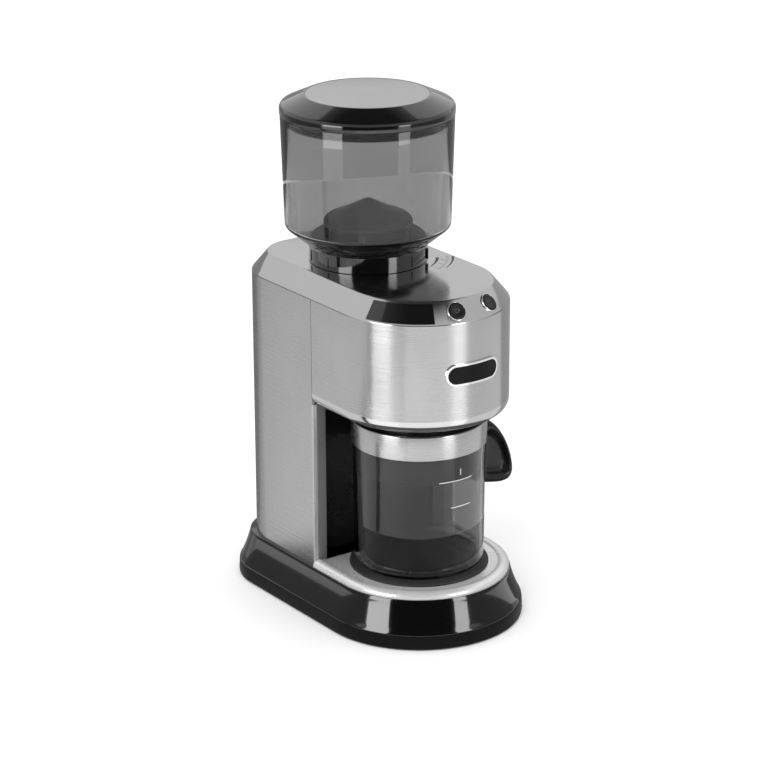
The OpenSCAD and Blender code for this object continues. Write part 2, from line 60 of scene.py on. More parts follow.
# half-width, rear face and rear corner radius of the column and head
BODY_R = shell_hi.x
BODY_BACK = shell_hi.y
REAR_R = 42 * MM
# depth at which the jar and the hopper stand
JAR_Y = wrap_lo.y + BODY_R
HOP_Y = (hopper_lo.y + hopper_hi.y) / 2
# sloping shoulder: its foot, its top, how far it leans in, its middle and its tilt
SHOULDER_Z = wrap_hi.z
DECK_Z = deck_hi.z
DECK_INSET = 12 * MM
FACE_R = BODY_R - DECK_INSET / 2
FACE_Z = (SHOULDER_Z + DECK_Z) / 2
FACE_TILT = math.pi / 2 - math.atan2(DECK_INSET, DECK_Z - SHOULDER_Z)
# places round the shoulder, as angles from the front centre
BUTTON_ANGLES = {"left": math.radians(-10.3), "right": math.radians(19.2)}
WINDOW_ANGLES = (math.radians(-71.8), math.radians(-26.5))
BUTTON_HOLE_R = 7 * MM
COLLAR_R = 44 * MM
JAR_R = jar_hi.x
BASE_CORNER_R = 48 * MM
MAT_HOLE_R = 51.9 * MM
LID_DISC_R = 45.6 * MM
CHUTE_RING_WALL = 2 * MM


# ---------------------------------------------------------------- mesh helpers
def link(obj):
    bpy.context.scene.collection.objects.link(obj)
    return obj


def shade_smooth(mesh, crease):
    """Smooth shading, with edges sharper than crease degrees kept crisp."""
    for polygon in mesh.polygons:
        polygon.use_smooth = True
    mesh.set_sharp_from_angle(angle=math.radians(crease))


def mesh_piece(name, verts, faces, material, body, node=None, crease=32):
    """A smooth-shaded mesh that rides on a body, and stands for a CAD node if one is named."""
    mesh = bpy.data.meshes.new(name)
    mesh.from_pydata([tuple(v) for v in verts], [], faces)
    bm = bmesh.new()
    bm.from_mesh(mesh)
    bmesh.ops.remove_doubles(bm, verts=bm.verts, dist=1e-6)
    bmesh.ops.recalc_face_normals(bm, faces=bm.faces)
    bm.to_mesh(mesh)
    bm.free()
    shade_smooth(mesh, crease)
    mesh.materials.append(material)
    obj = link(bpy.data.objects.new(name, mesh))
    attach(obj, body)
    if node:
        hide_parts(*([node] if isinstance(node, str) else node))
    return obj


def rounded(points, radii, steps=5):
    """A closed outline with its corners turned into arcs. radii is one per point, 0 for a sharp corner."""
    out = []
    count = len(points)
    for i, (point, radius) in enumerate(zip(points, radii)):
        p = Vector(point)
        a = (Vector(points[i - 1]) - p)
        b = (Vector(points[(i + 1) % count]) - p)
        if radius <= 0:
            out.append(tuple(p))
            continue
        a.normalize()
        b.normalize()
        half = a.angle(b) / 2
        reach = radius / math.tan(half)
        centre = p + (a + b).normalized() * (radius / math.sin(half))
        start = p + a * reach - centre
        end = p + b * reach - centre
        turn = math.atan2(start.x * end.y - start.y * end.x, start.dot(end))
        for k in range(steps + 1):
            c, s = math.cos(turn * k / steps), math.sin(turn * k / steps)
            out.append((centre.x + start.x * c - start.y * s, centre.y + start.x * s + start.y * c))
    return out


def in_mm(points):
    return [(a * MM, b * MM) for a, b in points]


def strip_faces(rows, columns, wrap_rows, wrap_columns):
    """Quads between neighbouring rows of points."""
    faces = []
    for i in range(rows if wrap_rows else rows - 1):
        for j in range(columns if wrap_columns else columns - 1):
            a, b = i * columns + j, i * columns + (j + 1) % columns
            c, d = ((i + 1) % rows) * columns + (j + 1) % columns, ((i + 1) % rows) * columns + j
            faces.append((a, b, c, d))
    return faces


def capped_faces(rows, columns):
    """Quads between closed rows of points, with a face over the first row and over the last."""
    first = tuple(reversed(range(columns)))
    last = tuple(range((rows - 1) * columns, rows * columns))
    return strip_faces(rows, columns, False, True) + [first, last]


def lathe(name, outline, centre_y, material, body, node=None, sides=144, closed=True, crease=32):
    """An outline of (radius, height) turned about the upright axis at centre_y."""
    verts = []
    for r, z in outline:
        for k in range(sides):
            a = 2 * math.pi * k / sides
            verts.append((r * math.cos(a), centre_y + r * math.sin(a), z))
    faces = strip_faces(len(outline), sides, closed, True)
    return mesh_piece(name, verts, faces, material, body, node, crease)


def stadium(inset, half, back, corner, front_steps=96, corner_steps=24):
    """Closed plan outline: half-round front, straight sides, rounded rear corners."""
    r, c = half - inset, corner - inset
    points = []
    for k in range(front_steps + 1):
        a = math.pi + math.pi * k / front_steps
        points.append((r * math.cos(a), JAR_Y + r * math.sin(a)))
    for side in (1, -1):
        for k in range(corner_steps + 1):
            a = math.pi / 2 * k / corner_steps
            if side < 0:
                a = math.pi / 2 - a
            points.append((side * (r - c + c * math.cos(a)), back - corner + c * math.sin(a)))
    return points


def bay(inset, half, back, front_steps=96):
    """Open plan outline: from the left side at y = back, round the front, to the right side."""
    r = half - inset
    points = [(-r, back), (-r, (back + JAR_Y) / 2)]
    for k in range(front_steps + 1):
        a = math.pi + math.pi * k / front_steps
        points.append((r * math.cos(a), JAR_Y + r * math.sin(a)))
    return points + [(r, (back + JAR_Y) / 2), (r, back)]


def swept(name, outline, plan, material, body, node=None, closed_plan=True, crease=32):
    """An outline of (inset, height) carried round a plan outline, with end caps if the plan is open."""
    rows = [[(x, y, z) for x, y in plan(inset)] for inset, z in outline]
    columns = len(rows[0])
    verts = [v for row in rows for v in row]
    faces = strip_faces(len(rows), columns, True, closed_plan)
    if not closed_plan:
        faces.append([i * columns for i in range(len(rows))])
        faces.append([i * columns + columns - 1 for i in reversed(range(len(rows)))])
    return mesh_piece(name, verts, faces, material, body, node, crease)


def cut(obj, cutters):
    """Subtracts closed meshes from obj, then removes them."""
    for cutter in cutters:
        modifier = obj.modifiers.new("cut", "BOOLEAN")
        modifier.operation = "DIFFERENCE"
        modifier.solver = "EXACT"
        modifier.object = cutter
    bpy.context.view_layer.update()
    evaluated = obj.evaluated_get(bpy.context.evaluated_depsgraph_get())
    mesh = bpy.data.meshes.new_from_object(evaluated)
    obj.modifiers.clear()
    obj.data = mesh
    shade_smooth(mesh, 30)
    for cutter in cutters:
        bpy.data.objects.remove(cutter)


def prism(name, outline, low, high):
    """A closed upright prism for cutting, from a plan outline."""
    count = len(outline)
    verts = [(x, y, low) for x, y in outline] + [(x, y, high) for x, y in outline]
    faces = [tuple(reversed(range(count))), tuple(range(count, 2 * count))]
    faces += [(i, (i + 1) % count, count + (i + 1) % count, count + i) for i in range(count)]
    mesh = bpy.data.meshes.new(name)
    mesh.from_pydata(verts, [], faces)
    return link(bpy.data.objects.new(name, mesh))


def circle(radius, centre=(0, 0), sides=128):
    return [(centre[0] + radius * math.cos(2 * math.pi * k / sides),
             centre[1] + radius * math.sin(2 * math.pi * k / sides)) for k in range(sides)]


# ---------------------------------------------------------------- material helpers
def shader(name, colour, metallic, roughness):
    material = bpy.data.materials.new(name)
    material.use_nodes = True
    bsdf = material.node_tree.nodes["Principled BSDF"]
    bsdf.inputs["Base Color"].default_value = (*colour, 1)
    bsdf.inputs["Metallic"].default_value = metallic
    bsdf.inputs["Roughness"].default_value = roughness
    return material, material.node_tree, bsdf


def node(tree, kind, **inputs):
    made = tree.nodes.new(kind)
    for key, value in inputs.items():
        made.inputs[key.replace("_", " ")].default_value = value
    return made


def place(tree, scale=(1, 1, 1), move=(0, 0, 0)):
    """Object coordinates in metres, moved and then scaled."""
    coordinates = tree.nodes.new("ShaderNodeTexCoord")
    mapping = tree.nodes.new("ShaderNodeMapping")
    mapping.vector_type = "POINT"
    mapping.inputs["Location"].default_value = [m * s for m, s in zip(move, scale)]
    mapping.inputs["Scale"].default_value = scale
    tree.links.new(coordinates.outputs["Object"], mapping.inputs["Vector"])
    return mapping.outputs["Vector"]


def noise(tree, vector, scale, detail=3.0, roughness=0.55):
    made = node(tree, "ShaderNodeTexNoise", Scale=scale, Detail=detail, Roughness=roughness)
    tree.links.new(vector, made.inputs["Vector"])
    return made.outputs["Fac"]


def spread(tree, value, low, high, start=0.25, stop=0.75):
    """Maps a noise value to a range."""
    made = node(tree, "ShaderNodeMapRange", From_Min=start, From_Max=stop, To_Min=low, To_Max=high)
    tree.links.new(value, made.inputs["Value"])
    return made.outputs["Result"]


def tint(tree, bsdf, value, dark, light):
    mix = tree.nodes.new("ShaderNodeMix")
    mix.data_type = "RGBA"
    mix.inputs[6].default_value = (*dark, 1)
    mix.inputs[7].default_value = (*light, 1)
    tree.links.new(value, mix.inputs[0])
    tree.links.new(mix.outputs[2], bsdf.inputs["Base Color"])


def bump(tree, bsdf, height, strength, distance):
    made = node(tree, "ShaderNodeBump", Strength=strength, Distance=distance)
    tree.links.new(height, made.inputs["Height"])
    tree.links.new(made.outputs["Normal"], bsdf.inputs["Normal"])


def with_input(material, socket, value):
    """Sets one of the shader's own sockets."""
    material.node_tree.nodes["Principled BSDF"].inputs[socket].default_value = value
    return material


def brushed(name, level, roughness, streak, anisotropy=0.0):
    """Brushed metal with its streaks along the axes where streak is small."""
    material, tree, bsdf = shader(name, (level, level, level * 1.01), 1.0, roughness)
    fine = noise(tree, place(tree, streak), 1.0, 4.0, 0.7)
    broad = noise(tree, place(tree), 22.0, 2.0)
    tint(tree, bsdf, fine, [level * 0.86] * 3, [min(1, level * 1.08)] * 3)
    mixed = tree.nodes.new("ShaderNodeMath")
    mixed.operation = "MULTIPLY_ADD"
    mixed.inputs[1].default_value = 0.6
    tree.links.new(broad, mixed.inputs[0])
    tree.links.new(fine, mixed.inputs[2])
    tree.links.new(spread(tree, mixed.outputs[0], roughness - 0.05, roughness + 0.07, 0.5, 1.1),
                   bsdf.inputs["Roughness"])
    bump(tree, bsdf, fine, 0.22, 0.00006)
    if anisotropy:
        bsdf.inputs["Anisotropic"].default_value = anisotropy
        bsdf.inputs["Anisotropic Rotation"].default_value = 0.25
        tangent = tree.nodes.new("ShaderNodeTangent")
        tangent.direction_type = "RADIAL"
        tangent.axis = "Z"
        tree.links.new(tangent.outputs["Tangent"], bsdf.inputs["Tangent"])
    return material


def spun(name, level, roughness, centre_y):
    """Metal brushed in rings about an upright axis."""
    material, tree, bsdf = shader(name, (level, level, level), 1.0, roughness)
    flat = place(tree, (1, 1, 0), (0, -centre_y, 0))
    length = tree.nodes.new("ShaderNodeVectorMath")
    length.operation = "LENGTH"
    tree.links.new(flat, length.inputs[0])
    rings = node(tree, "ShaderNodeTexNoise", Scale=2200.0, Detail=3.0, Roughness=0.7)
    rings.noise_dimensions = "1D"
    tree.links.new(length.outputs["Value"], rings.inputs["W"])
    tint(tree, bsdf, rings.outputs["Fac"], [level * 0.88] * 3, [min(1, level * 1.06)] * 3)
    broad = noise(tree, place(tree), 30.0, 3.0)
    tree.links.new(spread(tree, broad, roughness - 0.05, roughness + 0.05), bsdf.inputs["Roughness"])
    bump(tree, bsdf, rings.outputs["Fac"], 0.25, 0.00005)
    return material


def polished(name, level, roughness):
    """Bright metal with faint hairlines and smudges."""
    material, tree, bsdf = shader(name, (level, level, level * 1.01), 1.0, roughness)
    smudge = noise(tree, place(tree), 35.0, 5.0, 0.6)
    hair = noise(tree, place(tree, (60, 900, 60)), 1.0, 2.0)
    tree.links.new(spread(tree, smudge, roughness * 0.7, roughness * 1.5), bsdf.inputs["Roughness"])
    tint(tree, bsdf, smudge, [level * 0.97] * 3, [min(1, level * 1.03)] * 3)
    bump(tree, bsdf, hair, 0.04, 0.00003)
    return material


def plastic(name, colour, roughness, grain, grain_depth, coat=0.0):
    """Moulded plastic: grain size in metres, slight colour and gloss variation."""
    material, tree, bsdf = shader(name, colour, 0.0, roughness)
    texture = noise(tree, place(tree), 1 / grain, 3.0)
    broad = noise(tree, place(tree), 28.0, 4.0)
    tint(tree, bsdf, broad, [c * 0.82 for c in colour], [min(1, c * 1.18) for c in colour])
    tree.links.new(spread(tree, broad, roughness * 0.8, roughness * 1.25), bsdf.inputs["Roughness"])
    bump(tree, bsdf, texture, 0.25, grain_depth)
    bsdf.inputs["Coat Weight"].default_value = coat
    bsdf.inputs["Coat Roughness"].default_value = 0.04
    return material


def smoked(name, level, roughness):
    """Smoke-tinted clear plastic."""
    material, tree, bsdf = shader(name, (level, level, level * 1.01), 0.0, roughness)
    bsdf.inputs["Transmission Weight"].default_value = 1.0
    bsdf.inputs["IOR"].default_value = 1.46
    ripple = noise(tree, place(tree, (1, 1, 0.35)), 26.0, 2.0)
    tint(tree, bsdf, ripple, [level * 0.96] * 3, [level * 1.03] * 3)
    tree.links.new(spread(tree, ripple, roughness * 0.6, roughness * 1.6), bsdf.inputs["Roughness"])
    bump(tree, bsdf, ripple, 0.05, 0.0001)
    return material


def ground_steel(name, level, roughness):
    """Dark machined steel with turning marks."""
    material, tree, bsdf = shader(name, (level, level, level), 1.0, roughness)
    marks = noise(tree, place(tree, (30, 30, 1600)), 1.0, 3.0)
    tint(tree, bsdf, marks, [level * 0.7] * 3, [level * 1.2] * 3)
    bump(tree, bsdf, marks, 0.2, 0.00008)
    return material


def circuit_board(name):
    """Green solder mask with faint copper tracks under it."""
    material, tree, bsdf = shader(name, (0.02, 0.14, 0.06), 0.0, 0.35)
    bricks = tree.nodes.new("ShaderNodeTexBrick")
    bricks.inputs["Scale"].default_value = 90.0
    tree.links.new(place(tree), bricks.inputs["Vector"])
    tint(tree, bsdf, bricks.outputs["Fac"], (0.02, 0.14, 0.06), (0.03, 0.22, 0.09))
    bump(tree, bsdf, bricks.outputs["Fac"], 0.1, 0.00005)
    return material


WRAP_STEEL = brushed("wrap_steel", 0.54, 0.24, (5, 5, 2600), 0.75)
RING_STEEL = brushed("ring_steel", 0.53, 0.26, (5, 5, 2600), 0.75)
TRAY_STEEL = with_input(spun("tray_steel", 0.88, 0.26, JAR_Y), "Metallic", 0.62)
DISC_STEEL = brushed("disc_steel", 0.70, 0.36, (1800, 12, 12))
SILVER = brushed("satin_silver", 0.52, 0.26, (9, 9, 1500))
FRAME_SILVER = with_input(brushed("frame_silver", 0.50, 0.36, (9, 9, 1500)), "Metallic", 0.45)
BRIGHT = polished("polished_silver", 0.62, 0.12)
CHROME = polished("chrome_trim", 0.84, 0.08)
GLOSS_BLACK = plastic("gloss_black", (0.002, 0.002, 0.0022), 0.10, 0.004, 0.00002, 1.0)
SATIN_BLACK = plastic("satin_black", (0.008, 0.008, 0.0085), 0.34, 0.0006, 0.00004)
RECESS_BLACK = plastic("recess_black", (0.010, 0.010, 0.011), 0.26, 0.0008, 0.00003, 0.2)
WINDOW_BLACK = plastic("window_black", (0.003, 0.003, 0.0035), 0.08, 0.01, 0.000005, 1.0)
RUBBER = plastic("soft_rubber", (0.018, 0.018, 0.018), 0.62, 0.0004, 0.00008)
LID_GREY = plastic("jar_lid_grey", (0.03, 0.03, 0.031), 0.4, 0.002, 0.000005)
BADGE_BLACK = with_input(plastic("badge_black", (0.003, 0.003, 0.0032), 0.3, 0.002, 0.00001),
                         "Specular IOR Level", 0.15)
PRINT_GREY = plastic("printed_grey", (0.035, 0.035, 0.038), 0.5, 0.0005, 0.00001)
SYMBOL_GREY = plastic("symbol_grey", (0.10, 0.10, 0.105), 0.5, 0.0005, 0.00001)
HANDLE_BLACK = plastic("handle_black", (0.003, 0.003, 0.0032), 0.26, 0.004, 0.00002, 0.12)
CAP_BLACK = plastic("cap_black", (0.003, 0.003, 0.0032), 0.30, 0.002, 0.00001, 0.05)
PRINT_WHITE = plastic("printed_white", (0.72, 0.73, 0.74), 0.5, 0.0005, 0.00001)
WHITE_NYLON = plastic("white_nylon", (0.68, 0.67, 0.63), 0.5, 0.0007, 0.00004)
BRASS = with_input(polished("brass_parts", 0.5, 0.28), "Specular Tint", (1, 0.8, 0.45, 1))
SHEET_METAL = brushed("plain_sheet", 0.42, 0.42, (40, 40, 300))
BURR_STEEL = ground_steel("burr_steel", 0.3, 0.38)
BOARD = circuit_board("circuit_board")
HOPPER_CLEAR = smoked("smoked_hopper", 0.43, 0.01)
JAR_CLEAR = smoked("smoked_jar", 0.36, 0.01)

NODE_MATERIALS = {
    "base_skirt": GLOSS_BLACK, "base_tray": TRAY_STEEL, "bottom_plate": SATIN_BLACK, "rubber_feet": RUBBER,
    "base_screws": CHROME, "jar_mat": RUBBER, "rear_shell": SILVER, "column_frame": FRAME_SILVER,
    "column_liner": RECESS_BLACK, "head_wrap": WRAP_STEEL, "head_bezel": BRIGHT,
    "head_underside": SATIN_BLACK, "top_deck": BRIGHT, "display_window": WINDOW_BLACK,
    "display_module": BOARD, "control_board": BOARD, "button_rings": CHROME, "badge_rim": CHROME,
    "badge_plate": BADGE_BLACK, "chute": SATIN_BLACK, "chute_ring": CHROME,
    "grinding_chamber": SATIN_BLACK, "chassis": SHEET_METAL, "motor_mounts": RUBBER,
    "gearbox_base": SATIN_BLACK, "gearbox_cover": SATIN_BLACK, "shaft_bearings": CHROME,
    "motor_can": SHEET_METAL, "motor_magnets": BURR_STEEL, "motor_bearings": CHROME,
    "power_board": BOARD, "jar_switch": SATIN_BLACK, "cord_gland": SATIN_BLACK,
    "adjust_collar": GLOSS_BLACK, "burr_carrier": BRASS, "upper_burr": BURR_STEEL,
    "lower_burr": BURR_STEEL, "burr_shaft": CHROME, "gear_wheel": WHITE_NYLON,
    "ejector_disc": WHITE_NYLON, "motor_shaft": CHROME, "pinion": BRASS, "armature": BURR_STEEL,
    "cooling_fan": WHITE_NYLON, "hopper": HOPPER_CLEAR, "bean_guard": SATIN_BLACK,
    "hopper_lid": GLOSS_BLACK, "lid_disc": DISC_STEEL, "lid_seal": RUBBER, "button_left": CAP_BLACK,
    "button_right": CAP_BLACK, "jar": JAR_CLEAR, "jar_ring": RING_STEEL, "jar_lid": LID_GREY,
    "jar_handle": HANDLE_BLACK,
}
for cad_name, cad_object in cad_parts.items():
    cad_object.data.materials.clear()
    cad_object.data.materials.append(NODE_MATERIALS[cad_name])


# ---------------------------------------------------------------- base
def base_skirt():
    """Glossy skirt: a plump upright lip at the foot, then a slightly hollow slope up to the tray."""
    half, back, corner = skirt_hi.x, skirt_hi.y, BASE_CORNER_R
    low, top = skirt_lo.z, skirt_hi.z
    outline = [(5 * MM, low), (1.2 * MM, low), (0.4 * MM, low + 0.6 * MM), (0, low + 2.5 * MM)]
    outline += rounded([(0.1 * MM, low + 5 * MM), (0.5 * MM, low + 11.6 * MM), (4.4 * MM, low + 19 * MM)],
                       [0, 5 * MM, 0], 6)[1:-1]
    start, bend, end = (2.2 * MM, low + 14.6 * MM), (6.6 * MM, low + 24 * MM), (9.3 * MM, top - 0.7 * MM)
    for k in range(11):
        t = k / 10
        outline.append(tuple((1 - t) ** 2 * s + 2 * t * (1 - t) * b + t * t * e
                             for s, b, e in zip(start, bend, end)))
    outline += [(9.6 * MM, top - 0.15 * MM), (10.1 * MM, top), (30 * MM, top), (30 * MM, top - 3 * MM),
                (14 * MM, top - 3.2 * MM)]
    swept("skirt_shell", outline, lambda d: stadium(d, half, back, corner), GLOSS_BLACK, "housing",
          "base_skirt", crease=40)


def base_tray():
    """Brushed plate with a rolled rim, holed for the mat under the jar."""
    low, high = tray_lo.z, tray_hi.z
    plate = high - 1.7 * MM
    outline = [(0, low), (0, low + 1.2 * MM)]
    for k in range(1, 11):
        a = math.pi / 2 * k / 10
        outline.append((5.2 * MM * (1 - math.cos(a)), low + 1.2 * MM + (high - low - 1.2 * MM) * math.sin(a)))
    outline += [(6.8 * MM, high - 0.25 * MM), (8.4 * MM, plate + 0.2 * MM), (10 * MM, plate),
                (60 * MM, plate), (60 * MM, low)]
    tray = swept("tray_plate", outline, lambda d: bay(d, tray_hi.x, tray_hi.y), TRAY_STEEL, "housing",
                 "base_tray", closed_plan=False, crease=30)
    cut(tray, [prism("mat_hole", circle(MAT_HOLE_R, (0, JAR_Y)), low - 5 * MM, high + 5 * MM)])


def jar_mat():
    """Ribbed rubber mat that the jar stands on."""
    low, high = (corner.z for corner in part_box("jar_mat"))
    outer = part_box("jar_mat")[1].x
    points = [(0.01 * MM, low), (outer, low), (outer, high), (43 * MM, high)]
    radii = [0, 0, 0.9 * MM, 0]
    for groove in (33.2, 21.2):
        for inward, drop in ((0, 0), (0.3, 0.6), (0.9, 0.6), (1.2, 0)):
            points.append(((groove - inward) * MM, high - drop * MM))
            radii.append(0)
    lathe("mat_disc", rounded(points + [(0.01 * MM, high)], radii + [0], 4), JAR_Y, RUBBER, "housing",
          "jar_mat")


# ---------------------------------------------------------------- head
def head_bezel():
    """Polished band that rolls in under the brushed wall."""
    low, high = bezel_lo.z, bezel_hi.z
    drop = high - low
    outline = [(0, high), (0, high - 0.8 * MM)]
    for k in range(1, 13):
        a = math.pi / 2 * k / 12
        outline.append((5.4 * MM * (1 - math.cos(a)), high - 0.8 * MM - (drop - 0.8 * MM) * math.sin(a)))
    outline += [(6.6 * MM, low), (6.6 * MM, high)]
    swept("bezel_band", outline, lambda d: bay(d, BODY_R, bezel_hi.y), BRIGHT, "housing", "head_bezel",
          closed_plan=False, crease=40)


def chute_ring():
    """Polished skirt round the chute's outlet, just above the jar."""
    low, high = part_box("chute_ring")
    outer = high.x
    inner = outer - CHUTE_RING_WALL
    outline = rounded([(inner, low.z), (outer, low.z), (outer, high.z), (inner, high.z)],
                      [0.4 * MM, 1.2 * MM, 0, 0], 5)
    lathe("chute_collar", outline, JAR_Y, CHROME, "housing", "chute_ring")


def face_matrix(angle):
    """A place on the sloping shoulder, +Z out of the face, at an angle from the front centre."""
    return (Matrix.Translation((0, JAR_Y, FACE_Z)) @ Matrix.Rotation(angle, 4, "Z")
            @ Matrix.Translation((0, -FACE_R, 0)) @ Matrix.Rotation(FACE_TILT, 4, "X"))


def top_deck():
    """Deck and sloping shoulder in one skin with soft edges, holed for the collar, window and buttons."""
    low, high = SHOULDER_Z, DECK_Z
    outline = rounded([(0, low), (DECK_INSET, high), (DECK_INSET + 16 * MM, high)],
                      [0, 1.5 * MM, 0], 6)[:-1]
    back = BODY_BACK
    outline.insert(1, (0.35 * MM, low + 1.1 * MM))
    rows = [[(x, y, z) for x, y in stadium(inset, BODY_R, back, REAR_R)] for inset, z in outline]
    columns = len(rows[0])
    verts = [v for row in rows for v in row]
    faces = capped_faces(len(rows), columns)
    deck = mesh_piece("deck_skin", verts, faces, BRIGHT, "housing", "top_deck", crease=30)
    hollow = prism("hollow", stadium(3 * MM, BODY_R, back, REAR_R), low - 5 * MM, low + 0.5 * MM)
    throat = prism("throat", circle(COLLAR_R - 1.4 * MM, (0, HOP_Y)), low - 10 * MM, high + 10 * MM)
    wells = []
    for angle in BUTTON_ANGLES.values():
        well = prism("well", circle(BUTTON_HOLE_R, sides=64), -9 * MM, 6 * MM)
        well.matrix_world = face_matrix(angle)
        wells.append(well)
    cut(deck, [hollow, throat, window_pocket(), *wells])


def window_pocket():
    """The shape that the display window fills, as a cutter."""
    first, last = (a - math.pi / 2 for a in WINDOW_ANGLES)
    slope = DECK_INSET / (DECK_Z - SHOULDER_Z)
    section = [(BODY_R - h * slope * MM + out * MM, SHOULDER_Z + h * MM)
               for h, out in ((1.6, 1.2), (13.4, 1.2), (13.4, -1.6), (1.6, -1.6))]
    steps = 24
    verts = []
    for k in range(steps + 1):
        a = first + (last - first) * k / steps
        verts += [(r * math.cos(a), JAR_Y + r * math.sin(a), z) for r, z in section]
    faces = strip_faces(steps + 1, 4, False, True) + [(3, 2, 1, 0), tuple(steps * 4 + k for k in range(4))]
    mesh = bpy.data.meshes.new("pocket")
    mesh.from_pydata(verts, [], faces)
    bm = bmesh.new()
    bm.from_mesh(mesh)
    bmesh.ops.recalc_face_normals(bm, faces=bm.faces)
    bm.to_mesh(mesh)
    bm.free()
    return link(bpy.data.objects.new("pocket", mesh))


# ---------------------------------------------------------------- controls
def face_lathe(name, outline, angle, material, body, node_name):
    """A round piece standing on the sloping shoulder."""
    sides = 64
    matrix = face_matrix(angle)
    verts = []
    for r, z in outline:
        for k in range(sides):
            a = 2 * math.pi * k / sides
            verts.append(matrix @ Vector((r * math.cos(a), r * math.sin(a), z)))
    faces = strip_faces(len(outline), sides, True, True)
    return mesh_piece(name, verts, faces, material, body, node_name)


def buttons():
    """Push buttons with a dished top, each in its bright ring, with a plain symbol."""
    ring = rounded(in_mm([(6.45, -4), (6.9, -4), (6.9, 0.1), (7.3, 0.1), (7.1, 1.15), (6.45, 1.15)]),
                   [0, 0, 0, 0.1 * MM, 0.35 * MM, 0.15 * MM], 3)
    for side, body in (("left", "start_button"), ("right", "amount_button")):
        cap = in_mm([(0.01, -5), (6.1, -5), (6.1, 0.75), (5.95, 1.15), (5.5, 1.38), (4.9, 1.42), (3.7, 1.2),
                     (1.9, 1.05), (0.01, 1.0)])
        angle = BUTTON_ANGLES[side]
        face_lathe("cap_" + side, cap, angle, CAP_BLACK, body, "button_" + side)
        face_lathe("ring_" + side, ring, angle, CHROME, "housing", "button_rings")
        symbol(angle, side, body)


def symbol(angle, side, body):
    """A thin printed mark: a cup on one button, a bar in an arc on the other."""
    width = 0.34 * MM
    level = 1.3 * MM
    matrix = face_matrix(angle)
    if side == "left":
        bowl = [(-1.9, 1.3), (-1.6, -0.8), (-1.1, -1.3), (0.8, -1.3), (1.2, -0.8), (1.5, 1.3), (-1.9, 1.3)]
        ear = [(1.5, 0.9), (2.3, 0.7), (2.3, -0.1), (1.4, -0.3)]
        strokes = [bowl, ear]
    else:
        turns = [math.radians(a) for a in range(40, 321, 20)]
        arc = [(1.9 * math.sin(turn), 1.9 * math.cos(turn)) for turn in turns]
        strokes = [arc, [(0, 2.3), (0, 0.4)]]
    verts, faces = [], []
    for stroke in strokes:
        for a, b in zip(stroke, stroke[1:]):
            start, end = Vector(a) * MM, Vector(b) * MM
            along = (end - start).normalized() * width / 2
            across = Vector((-along.y, along.x))
            base = len(verts)
            for corner in (start - along - across, end + along - across, end + along + across,
                           start - along + across):
                verts.append(matrix @ Vector((corner.x, corner.y, level)))
            faces.append((base, base + 1, base + 2, base + 3))
    mesh_piece("symbol_" + side, verts, faces, SYMBOL_GREY, body, None)


# ---------------------------------------------------------------- grind scale on the deck
def deck_arc(name, radius, start, stop, width_start, width_stop, steps=28):
    """A printed arc about the hopper axis that may widen along its length. Angles in degrees."""
    level = DECK_Z + 0.03 * MM
    verts, faces = [], []
    for k in range(steps + 1):
        t = k / steps
        a = math.radians(start + (stop - start) * t)
        half = (width_start + (width_stop - width_start) * t) / 2
        for r in (radius - half, radius + half):
            verts.append((r * math.cos(a), HOP_Y + r * math.sin(a), level))
        if k:
            faces.append((2 * k - 2, 2 * k - 1, 2 * k + 1, 2 * k))
    return mesh_piece(name, verts, faces, PRINT_GREY, "housing", None)


def deck_number(text, radius, degrees, height):
    """A printed numeral that reads from the front of the machine."""
    curve = bpy.data.curves.new("number_" + text, "FONT")
    curve.body = text
    curve.size = height
    curve.align_x = "CENTER"
    curve.align_y = "CENTER"
    made = link(bpy.data.objects.new("number_curve", curve))
    bpy.context.view_layer.update()
    mesh = bpy.data.meshes.new_from_object(made.evaluated_get(bpy.context.evaluated_depsgraph_get()))
    bpy.data.objects.remove(made)
    a = math.radians(degrees)
    turn = Matrix.Rotation(a + math.pi / 2, 4, "Z")
    spot = Matrix.Translation((radius * math.cos(a), HOP_Y + radius * math.sin(a), DECK_Z + 0.03 * MM))
    mesh.transform(spot @ turn)
    mesh.materials.clear()
    mesh.materials.append(PRINT_GREY)
    obj = link(bpy.data.objects.new("scale_number_" + text, mesh))
    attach(obj, "housing")


def grind_scale():
    deck_arc("scale_wedge", 51 * MM, -64, -36, 0.5 * MM, 2.6 * MM)
    deck_arc("scale_outer", 62.6 * MM, -60, -33, 0.5 * MM, 2.0 * MM)
    for k in range(10):
        degrees = -64 + 3.4 * k
        deck_arc(f"scale_tick_{k}", 58.6 * MM, degrees - 0.3, degrees + 0.3, 2.2 * MM, 2.2 * MM, 1)
    for text, degrees in (("1", -62.3), ("6", -52.1), ("12", -41.9)):
        deck_number(text, 55.2 * MM, degrees, 3.4 * MM)


# ---------------------------------------------------------------- hopper and lid
def hopper():
    """Smoked drum: slight taper, tight lower corner, conical floor and a spigot."""
    rim = hopper_hi.z
    top_r, low_r, wall = hopper_hi.x, hopper_hi.x - 2.6 * MM, 2.4 * MM
    foot = hopper_lo.z
    ledge = foot + 14.1 * MM
    corner = ledge + 14.4 * MM
    spigot, throat, floor = 38.65 * MM, 34.2 * MM, ledge + 3.5 * MM
    points = [(top_r, rim), (low_r, corner), (45.6 * MM, ledge + 1.4 * MM), (45 * MM, ledge),
              (spigot, ledge), (spigot, foot), (throat, foot), (throat, floor),
              (44.6 * MM, floor), (low_r - 1.9 * MM, corner + 1.2 * MM), (top_r - wall, rim)]
    radii = [r * MM for r in (0.6, 3.6, 0.6, 0, 0, 0.5, 0.5, 0.4, 1.5, 3.0, 0.6)]
    drum = lathe("hopper_drum", rounded(points, radii, 6), HOP_Y, HOPPER_CLEAR, "bean_hopper",
                 "hopper")
    drum.visible_shadow = False


